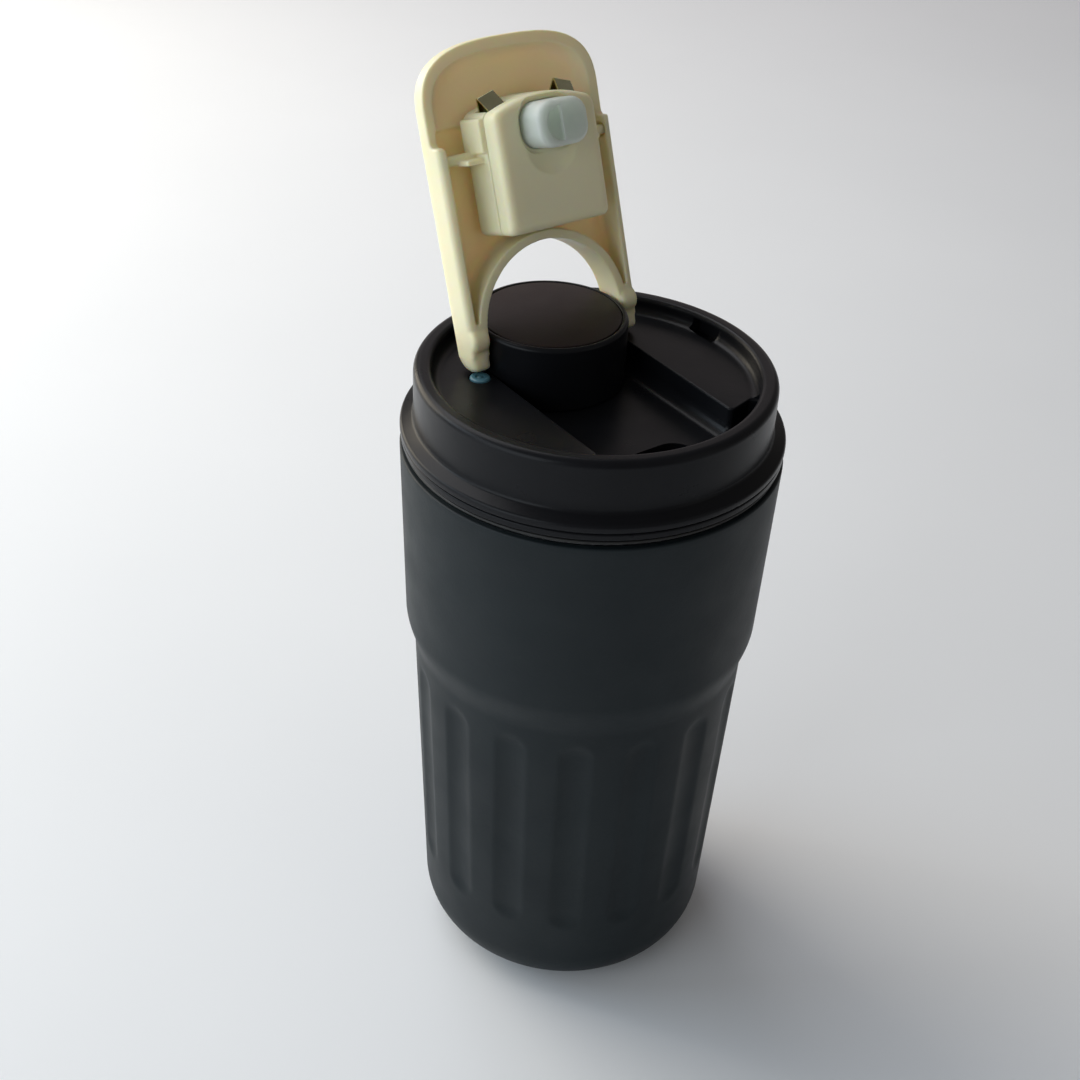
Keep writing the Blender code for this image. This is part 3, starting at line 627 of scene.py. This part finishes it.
def channel_cutter():
    """The channel with a fillet round its floor and a rounded edge along the deck."""
    fillet, edge = 2.8, 0.45
    rings = [channel_ring(a - fillet, FLOOR_Z + fillet + b)
             for a, b in arc(0.0, 0.0, fillet, -90, 0, 6)]
    rings += [channel_ring(edge - a, DECK_Z - edge + b)
              for a, b in arc(0.0, 0.0, edge, 0, 90, 4)]
    rings += [channel_ring(edge, CUT_TOP)]
    return stack("channel", rings)


def lid_profile():
    """The lid's section from the deck over the rim to the flange, its bead and its underside."""
    deck_fillet, bore_edge, rim_edge, foot_fillet, flange_edge = 2.0, 1.1, 1.6, 1.1, 0.9
    rim_low, foot_z = 150.0, 146.2
    under = FLANGE_Z[0]
    bead = FLANGE_R - 0.2
    groove = bead - 0.35
    upper_bead, lower_bead = 0.35, 0.45
    skirt_bore = 36.8
    profile = [(0.0, DECK_Z)]
    profile += arc(RIM_BORE - deck_fillet, DECK_Z + deck_fillet, deck_fillet, -90, 0, 10)
    profile += arc(RIM_BORE + bore_edge, RIM_TOP - bore_edge, bore_edge, 180, 90, 6)
    profile += arc(RIM_R - rim_edge, RIM_TOP - rim_edge, rim_edge, 90, 0, 10)
    profile += [(RIM_R, rim_low), (RIM_R, foot_z)]
    profile += arc(RIM_R + foot_fillet, foot_z - foot_fillet, foot_fillet, 180, 235, 4)
    profile += arc(FLANGE_R - flange_edge, FLANGE_Z[1] - flange_edge, flange_edge, 80, 0, 6)
    profile += [(FLANGE_R, under + 2.2), (FLANGE_R - 0.12, under + 1.95),
                (groove, under + 1.75), (groove, under + 1.55)]
    profile += arc(bead - upper_bead, under + 1.2, upper_bead, 80, 0, 4)
    profile += arc(bead - lower_bead, under + lower_bead, lower_bead, 0, -90, 4)
    return profile + [(skirt_bore, under), (skirt_bore, CEILING_Z), (0.0, CEILING_Z)]


def lid_top():
    """The lid's shell with its channel, drinking hole, seats and the rim's small notch."""
    lid = lathe("lid_top", lid_profile(), 240)
    combine(lid, channel_cutter())
    combine(lid, rod("tower_seat", TOWER_R + 0.25, FLOOR_Z, CUT_TOP, (0.0, TOWER_Y), 128))
    combine(lid, prism("hole", oval(HOLE, 0.0, HOLE_Y), CEILING_Z - 1.0, FLOOR_Z + 1.0))
    combine(lid, rod("vent_seat", VENT_R + 0.3, DECK_Z - 0.6, DECK_Z + 1.0, VENT.xy))
    combine(lid, block("notch", (32.2, 0.8, DECK_Z - 1.4), (35.4, 8.4, DECK_Z + 2.6)))
    soften(lid, 0.18)
    crisp(lid, 50.0)
    settle(lid, "lid", BLACK, "lid_shell")


def tower():
    """The round hinge tower, and the matte disc let into its top."""
    groove_out = CAP_R + 0.3
    recess, roof, foot = TOWER_TOP - 0.8, TOWER_TOP - 4.3, FLOOR_Z + 0.3
    bore = TOWER_R - 2.2
    lip, edge, foot_edge = 0.15, 0.9, 0.35
    profile = [(0.0, recess), (groove_out, recess)]
    profile += arc(groove_out + lip, TOWER_TOP - 0.2, lip, 180, 90, 3)
    profile += arc(TOWER_R - edge, TOWER_TOP - edge, edge, 88, 0, 8)
    profile += arc(TOWER_R - foot_edge, FLOOR_Z + 0.65, foot_edge, 0, -90, 4)
    profile += [(bore, foot), (bore, roof), (0.0, roof)]
    ring = lathe("tower_wall", profile, 192, (0.0, TOWER_Y))
    for side in (-1, 1):
        low, high = across(side, 13.4, 18.0)
        combine(ring, rod("bore", PIN_BORE, low, high, (HINGE.y, HINGE.z), 32, "X"))
    crisp(ring, 40.0)
    settle(ring, "lid", BLACK, "hinge_tower")
    rim, under = 0.25, TOWER_TOP - 0.5
    cap = [(0.0, TOWER_TOP)] + arc(CAP_R - rim, TOWER_TOP - rim, rim, 90, 0, 4)
    cap += [(CAP_R, under), (0.0, under)]
    disc = lathe("tower_disc", cap, 192, (0.0, TOWER_Y), 40.0)
    settle(disc, "lid", CAP_BLACK_PAINTED_WARM, "tower_cap")


def vent():
    """The vent valve's head, with a shallow dish and a pip in its middle."""
    top, bottom = DECK_Z + 0.35, DECK_Z - 2.3
    stem_r = 0.9
    profile = [(0.0, top - 0.02), (0.25, top - 0.05), (0.5, top - 0.26), (0.8, top - 0.26),
               (1.1, top - 0.06), (VENT_R - 0.45, top - 0.02), (VENT_R - 0.1, top - 0.2),
               (VENT_R, top - 0.6), (stem_r, top - 0.62), (stem_r, bottom), (0.0, bottom)]
    valve = lathe("vent_head", profile, 64, VENT.xy)
    settle(valve, "lid", VENT_LOOK, "vent_valve")


def liner():
    """The steel liner: its lip shows as a fine line under the lid."""
    low, high = span("inner_liner")
    wall = 1.0
    lip_r, lip_edge, lip_under = high.x - 1.4, 0.15, high.z - 0.4
    inset = high.x - 1.8
    neck = high.x - 6.1
    foot_r, foot_z, floor_r = 12.0, 20.0, 20.2
    mouth_edge = 0.3
    outer = arc(lip_r, high.z - lip_edge, lip_edge, 90, -90, 6)
    outer += [(inset, high.z - 0.35), (inset, lip_under)]
    outer += [(neck + wall, lip_under), (neck + wall, 124.0), (37.0, 119.0), (36.6, 98.0),
              (34.4, 85.0), (32.2, foot_z)]
    outer += arc(floor_r, foot_z, foot_r, -10, -90, 14) + [(0.0, low.z)]
    bore = [(0.0, low.z + wall)] + arc(floor_r, foot_z, foot_r - wall, -90, -10, 14)
    bore += [(31.2, foot_z), (33.4, 85.0), (35.6, 98.0), (36.0, 118.6), (neck, 123.6)]
    bore += arc(neck + mouth_edge, high.z - mouth_edge, mouth_edge, 180, 90, 4)
    body = lathe("steel_liner", bore + outer, 192)
    settle(body, "flask", STEEL, "inner_liner")


def seal_ring():
    """The black seal between the flange and the steel lip."""
    low, high = span("flange_seal")
    edge, bore = 0.35, 37.2
    profile = arc(high.x - edge, (low.z + high.z) / 2, edge, 90, -90, 6)
    profile += [(bore, low.z), (bore, high.z)]
    ring = lathe("lid_seal", profile, 192)
    settle(ring, "lid", BLACK_RUBBER, "flange_seal")


# ---------------------------------------------------------------- lever

def tip_points(half, reach):
    """The right half of the tip's outline, from the side to the middle, as (x, reach)."""
    count = 28
    points = []
    for i in range(count + 1):
        angle = math.pi / 2 * i / count
        points.append((half * math.cos(angle) ** (2 / TIP_POWER),
                       TIP_START + (reach - TIP_START) * math.sin(angle) ** (2 / TIP_POWER)))
    return points


def mirrored(points, height):
    """A ring from (x, reach) points of the right half, from the near end to the middle."""
    return [(x, -s, height) for x, s in with_mirror(points)]


def lever_profile():
    """The lever's side view, from the tail round the top to the tip and back."""
    beyond = 64.0
    fillet, edge = 1.0, 1.2
    tail = arc(0.0, 0.0, TAIL_R - 0.2, 201, 97, 14)
    top = [(2.5, LEVER_TOP), (18.0, LEVER_TOP), (40.0, 5.4), (52.0, 4.9), (58.0, 4.45),
           (beyond, 3.9)]
    bottom = [(beyond, TIP_BOTTOM), (STEP_REACH + 1.2, TIP_BOTTOM)]
    bottom += arc(STEP_REACH + fillet, TIP_BOTTOM - fillet, fillet, 90, 180, 4)
    bottom += arc(STEP_REACH - edge, RAIL_BOTTOM + edge, edge, 0, -90, 5)
    neck = [(1.6, RAIL_BOTTOM), (0.6, -2.2), (-2.6, -1.7), (-3.4, -1.9)]
    return tail + top + bottom + neck


def hollow_ring(inset, height):
    """Between the side rails, from the step to the rib round the arch."""
    half = RAIL_HALF - inset
    rib = ARCH_R + RIB_WALL + inset
    start = math.asin((GROOVE_REACH + inset - ARCH_REACH) / rib)
    start = math.degrees(max(start, math.acos(min(half / rib, 1.0))))
    rise = [(x, -s) for x, s in arc(0.0, ARCH_REACH, rib, start, 90, 20)]
    side = [(half, -STEP_REACH - 3.0), (half, rise[0][1] - 0.02)] + rise
    return [(x, y, height) for x, y in with_mirror(side)]


def arch_ring(grow, height):
    """The cut-out that clears the tower, open towards the tail."""
    points = arc(0.0, ARCH_REACH, ARCH_R + grow, 0, 180, 48)
    open_end = TAIL_END - 1.0
    points = [(ARCH_R + grow, open_end)] + points + [(-ARCH_R - grow, open_end)]
    return [(x, -s, height) for x, s in points]


def tip_ring(inset, height):
    """The wider hollow inside the tip, past the end of the rails."""
    half = LEVER_HALF - TIP_WALL - inset
    points = [(half, STEP_REACH + 0.9 + inset)]
    points += tip_points(half, LEVER_REACH - TIP_WALL - inset)
    return mirrored(points, height)


def blank_ring(inset, height):
    """The lever's whole outline before its side view and arch are cut."""
    points = [(LEVER_HALF - inset, TAIL_END)]
    points += tip_points(LEVER_HALF - inset, LEVER_REACH - inset)
    return mirrored(points, height)


def round_tails(item):
    """Relaxes the legs' free ends further, down to their round tips."""
    bm = bmesh.new()
    bm.from_mesh(item.data)
    legs_from, rounds = 2.5, 60
    ends = [v for v in bm.verts if v.co.y > legs_from * MM]
    for _ in range(rounds):
        bmesh.ops.smooth_vert(bm, verts=ends, factor=0.5, use_axis_x=True, use_axis_y=True,
                              use_axis_z=True)
    bm.to_mesh(item.data)
    bm.free()
    item.data.shade_smooth()


def lever_blank():
    """The lever as a plate with a domed top and rounded lower edges."""
    dome, edge, draft = 2.6, 1.5, 0.15
    rings = [blank_ring(dome - a, LEVER_TOP - dome + n)
             for a, n in arc(0.0, 0.0, dome, 90, 0, 7)]
    rings += [blank_ring(draft + edge - a, RAIL_BOTTOM + edge + n)
              for a, n in arc(0.0, 0.0, edge, 0, -90, 5)]
    rings.append([(x, y, RAIL_BOTTOM - 2.0) for x, y, _ in rings[-1]])
    return stack("flip_lever", rings)


def lever():
    """The lever: its blank cut to the side view, the arch, both hollows and the sockets."""
    below, above = -6.0, 8.0
    cover = lever_blank()
    combine(cover, side_prism("side", lever_profile(), LEVER_HALF + 2.0), "INTERSECT")
    edge = 1.2
    lip = [arch_ring(edge - a, LEVER_TOP - edge + b) for a, b in arc(0.0, 0.0, edge, 0, 80, 5)]
    combine(cover, stack("arch", [arch_ring(0.0, below)] + lip + [arch_ring(edge, above)]))
    inner_face = LEVER_TOP - PLATE
    fillet = 1.3
    rails = [hollow_ring(fillet - a, inner_face - fillet + b)
             for a, b in arc(0.0, 0.0, fillet, 90, 0, 5)]
    combine(cover, stack("rails", rails + [hollow_ring(0.0, below)]))
    tip_face, fillet = inner_face - 0.5, 3.2
    tips = [tip_ring(fillet - a, tip_face - fillet + b)
            for a, b in arc(0.0, 0.0, fillet, 90, 0, 9)]
    combine(cover, stack("tip", tips + [tip_ring(0.0, below)]))
    for side in (-1, 1):
        low, high = across(side, ARCH_R + 0.1, LEVER_HALF - 0.2)
        knuckle = rod("knuckle", KNUCKLE_R, low, high, KNUCKLE_AT, along="X", edge=1.0)
        combine(cover, knuckle, "UNION")
        low, high = across(side, 15.0, 19.5)
        combine(cover, rod("socket", PIN_BORE, low, high, along="X"))
        low, high = across(side, 15.0, 20.7)
        combine(cover, rod("ear_socket", EAR_R + 0.3, low, high, EAR_AT, along="X"))
    moulded(cover, voxel=0.24, rounds=12)
    round_tails(cover)
    in_lever(cover)
    settle(cover, "lever", CREAM, "lever_cover")


# ---------------------------------------------------------------- stopper carrier

def box_points(inset, corner):
    """The right half of the box's outline, with its far end round about the lid's axis."""
    near_corner = 1.4
    half = BOX_HALF - inset
    near = BOX_NEAR + inset
    radius = BOX_FAR_R - inset
    edge = math.degrees(math.acos((half - corner) / (radius - corner)))
    far = HINGE.y + (radius - corner) * math.sin(math.radians(edge))
    return (arc(half - near_corner, near + near_corner, near_corner, -90, 0, 5)
            + arc(half - corner, far, corner, 0, edge, 6)
            + arc(0.0, HINGE.y, radius, edge, 90, 14)[1:])


def radial(item, side):
    """Turns a piece made along the middle to where a catch lies, about the lid's axis."""
    centre = Vector((0.0, -HINGE.y * MM, 0.0))
    turn = Matrix.Rotation(math.radians(side * CATCH_ANGLE), 4, "Z")
    item.data.transform(Matrix.Translation(centre) @ turn @ Matrix.Translation(-centre))
    return item


def catch_slots(target):
    """Cuts the two slots that the catches come out of."""
    gap, depth, above = 0.3, 10.0, 0.6
    half = CATCH_W / 2 + gap
    near = -HINGE.y - CATCH_R[0] + gap
    for side in (-1, 1):
        slot = block("slot", (-half, near - depth, BOX_SPLIT - above),
                     (half, near, CATCH_BACK + above))
        combine(target, radial(slot, side))


def box_shell(name, low, high, front_edge, back_edge):
    """The carrier's outline between two heights, with rounded edges at its ends."""
    rings = []
    for a, b in arc(0.0, 0.0, front_edge, -90, 0, 5):
        rings.append(mirrored(box_points(front_edge - a, BOX_CORNER), low + front_edge + b))
    for a, b in arc(0.0, 0.0, back_edge, 0, 90, 5):
        rings.append(mirrored(box_points(back_edge - a, BOX_CORNER), high - back_edge + b))
    return stack(name, rings)


def box_inside(low, high):
    """The room inside one half of the box, between two heights."""
    return stack("inside", [mirrored(box_points(BOX_WALL, BOX_CORNER - 1.0), n)
                            for n in (low, high)])


def carrier_rear():
    """The rear half of the box, with its shoulders, its tabs and the ears it rocks on."""
    rear = box_shell("carrier_rear", BOX_SPLIT + SPLIT_GAP, BOX_BACK, 0.2, 0.7)
    half = BOX_HALF + 0.9
    shoulder = block("shoulder", (-half, -EAR_REACH - 7.4, BOX_SPLIT + 0.25),
                     (half, -EAR_REACH - 0.5, BOX_BACK - 0.5), 0.5)
    combine(rear, shoulder, "UNION")
    tab_end = half + 3.2
    tab = block("tab", (-tab_end, -EAR_REACH + 0.25, -4.6), (tab_end, -EAR_REACH + 1.35, 0.4), 0.3)
    combine(rear, tab, "UNION")
    combine(rear, box_inside(BOX_SPLIT - 1.0, BOX_BACK - BOX_WALL))
    for side in (-1, 1):
        low, high = across(side, BOX_HALF - 0.8, 20.3)
        combine(rear, rod("ear", EAR_R, low, high, EAR_AT, 32, "X", 0.3), "UNION")
    catch_slots(rear)
    moulded(rear, voxel=0.2, rounds=5)
    in_lever(rear)
    settle(rear, "carrier", CREAM, "stopper_carrier")


def carrier_front():
    """The front half of the box, with a shallow dimple and the plug's seat and hole."""
    front = box_shell("carrier_front", BOX_FRONT, BOX_SPLIT - SPLIT_GAP, 1.8, 0.2)
    combine(front, box_inside(BOX_FRONT + 2.5, BOX_SPLIT + 1.0))
    dimple_r, dimple_depth, dimple_reach = 20.0, 1.0, PLUG_REACH - 3.9
    bm = bmesh.new()
    bmesh.ops.create_uvsphere(bm, u_segments=128, v_segments=96, radius=dimple_r * MM)
    bmesh.ops.translate(bm, verts=bm.verts,
                        vec=(0.0, -dimple_reach * MM, (BOX_FRONT - dimple_r + dimple_depth) * MM))
    combine(front, put("dimple", finish_mesh(bm, "dimple")))
    combine(front, prism("seat", oval(PLUG, 1.0, -PLUG_REACH), BOX_FRONT - 1.0, BOX_FRONT + 1.0))
    combine(front, prism("hole", oval(PLUG, 0.05, -PLUG_REACH), BOX_FRONT - 1.0, BOX_SPLIT + 1.0))
    catch_slots(front)
    moulded(front, voxel=0.2, rounds=4)
    in_lever(front)
    settle(front, "carrier", CREAM, "carrier_cover")


def plug():
    """The translucent stopper: an oval stem whose end has a half-moon recess."""
    inside, edge = BOX_FRONT + 2.8, 1.1
    recess_x, recess_r, recess_depth = -0.4, 3.5, 0.7
    rings = [[(x, y, inside) for x, y in oval(PLUG, 0.0, -PLUG_REACH)]]
    rings += [[(x, y, PLUG_END + edge + b) for x, y in oval(PLUG, a - edge, -PLUG_REACH)]
              for a, b in arc(0.0, 0.0, edge, 0, -90, 8)]
    stem = stack("silicone_plug", rings)
    half_disc = arc(recess_x, -PLUG_REACH, recess_r, 90, 270, 32)
    combine(stem, prism("half_moon", half_disc, PLUG_END - 1.0, PLUG_END + recess_depth))
    moulded(stem, voxel=0.16, rounds=4)
    in_lever(stem)
    settle(stem, "carrier", CLEAR, "stopper_plug")


def catches():
    """Two folded strips whose tips show above the box."""
    thick, bend, bend_height = 0.45, 0.75, 2.6
    start, reach = (HINGE.y + r for r in CATCH_R)
    low = BOX_SPLIT - thick / 2
    flat_end = reach - 3.0
    fold = arc(reach - bend, low + bend_height, bend, -25, 40, 6)
    inner = arc(reach - bend, low + bend_height, bend - thick, 40, -25, 6)
    front = [(start, low), (flat_end, low), (reach - 2.6, low + 0.15)]
    back = [(reach - 4.0, CATCH_BACK), (reach - 4.1, CATCH_BACK - thick)]
    outline = front + fold + back + inner + [(flat_end, low + thick), (start, low + thick)]
    for side, name in ((-1, "catch_left"), (1, "catch_right")):
        strip = side_prism(name, outline, CATCH_W / 2)
        soften(strip, 0.1)
        crisp(strip, 40.0)
        radial(strip, side)
        in_lever(strip)
        settle(strip, "carrier", SPRING, name.replace("catch", "catch_spring"))


# ---------------------------------------------------------------- carried-over nodes

def dress_nodes():
    """The hidden and small CAD nodes that stay, each with its own finish."""
    finishes = {"outer_base": STEEL, "base_cover": STEEL, "vacuum_seal": GETTER,
                "getter_cup": GETTER, "lid_gasket": CLEAR, "lid_plug": CAP_BLACK_PAINTED_WARM,
                "spout_seal": CLEAR, "hinge_pin_left": STEEL, "hinge_pin_right": STEEL}
    for name, finish in finishes.items():
        node = frame["nodes"][name]
        node.data.materials.clear()
        node.data.materials.append(finish)
        node.data.shade_smooth()
        node.data.set_sharp_from_angle(angle=math.radians(32))


# ---------------------------------------------------------------- stage

def floor():
    """A plain pale floor."""
    bm = bmesh.new()
    bmesh.ops.create_grid(bm, x_segments=1, y_segments=1, size=4.0)
    made, tree, shader = look("floor_paper", (0.84, 0.87, 0.90), 0.75)
    colour(tree, shader, noise(tree, 6.0), (0.83, 0.86, 0.89), (0.85, 0.88, 0.91))
    ground = put("floor", finish_mesh(bm, "floor"))
    ground.data.materials.append(made)


def softbox(name, at, target, size, power, color):
    """A rectangular area light that faces a target: places in mm, size in m, power in W."""
    data = bpy.data.lights.new(name, "AREA")
    data.shape = "RECTANGLE"
    data.size, data.size_y = size
    data.energy = power
    data.color = color
    made = bpy.data.objects.new(name, data)
    bpy.context.scene.collection.objects.link(made)
    made.location = Vector(at) * MM
    direction = Vector(target) - Vector(at)
    made.rotation_euler = direction.to_track_quat("-Z", "Y").to_euler()


def lights():
    """Soft daylight from the left and behind, with weak fills from the front and right."""
    world = bpy.data.worlds.new("studio")
    bpy.context.scene.world = world
    world.use_nodes = True
    sky = world.node_tree.nodes["Background"]
    sky.inputs["Color"].default_value = (1.0, 0.95, 0.92, 1.0)
    sky.inputs["Strength"].default_value = 0.16
    softbox("window", (-1000, -60, 420), (0, 0, 130), (0.9, 0.7), 4.4, (0.86, 0.94, 1.0))
    softbox("sky", (-760, 630, 560), (0, 0, 140), (0.5, 0.5), 2.9, (0.75, 0.88, 1.0))
    softbox("top", (-150, 800, 1150), (0, 0, 100), (1.1, 0.8), 8.0, (0.97, 0.97, 1.0))
    softbox("back", (-350, 950, 420), (0, 0, 180), (0.7, 0.6), 6.5, (1.0, 0.90, 0.74))
    softbox("front", (500, -900, 500), (0, 0, 100), (0.5, 0.9), 0.25, (0.96, 1.0, 0.94))
    softbox("room", (700, 900, 480), (0, 0, 150), (1.0, 0.8), 0.8, (1.0, 0.85, 0.85))
    bpy.context.scene.view_settings.view_transform = "Standard"


def camera():
    """The camera above the flask's front left."""
    data = bpy.data.cameras.new("camera")
    data.lens = LENS
    data.clip_start = 0.01
    made = bpy.data.objects.new("camera", data)
    bpy.context.scene.collection.objects.link(made)
    made.location = Vector(CAMERA_AT) * MM
    aim = (Vector(LOOK_AT) - Vector(CAMERA_AT)).to_track_quat("-Z", "Y").to_matrix().to_4x4()
    roll = Matrix.Rotation(math.radians(CAMERA_ROLL), 4, "Z")
    made.rotation_euler = (aim @ roll).to_euler()
    bpy.context.scene.camera = made


camera()
lights()
floor()
body_shell()
lid_top()
tower()
vent()
liner()
seal_ring()
lever()
carrier_rear()
carrier_front()
plug()
catches()
dress_nodes()
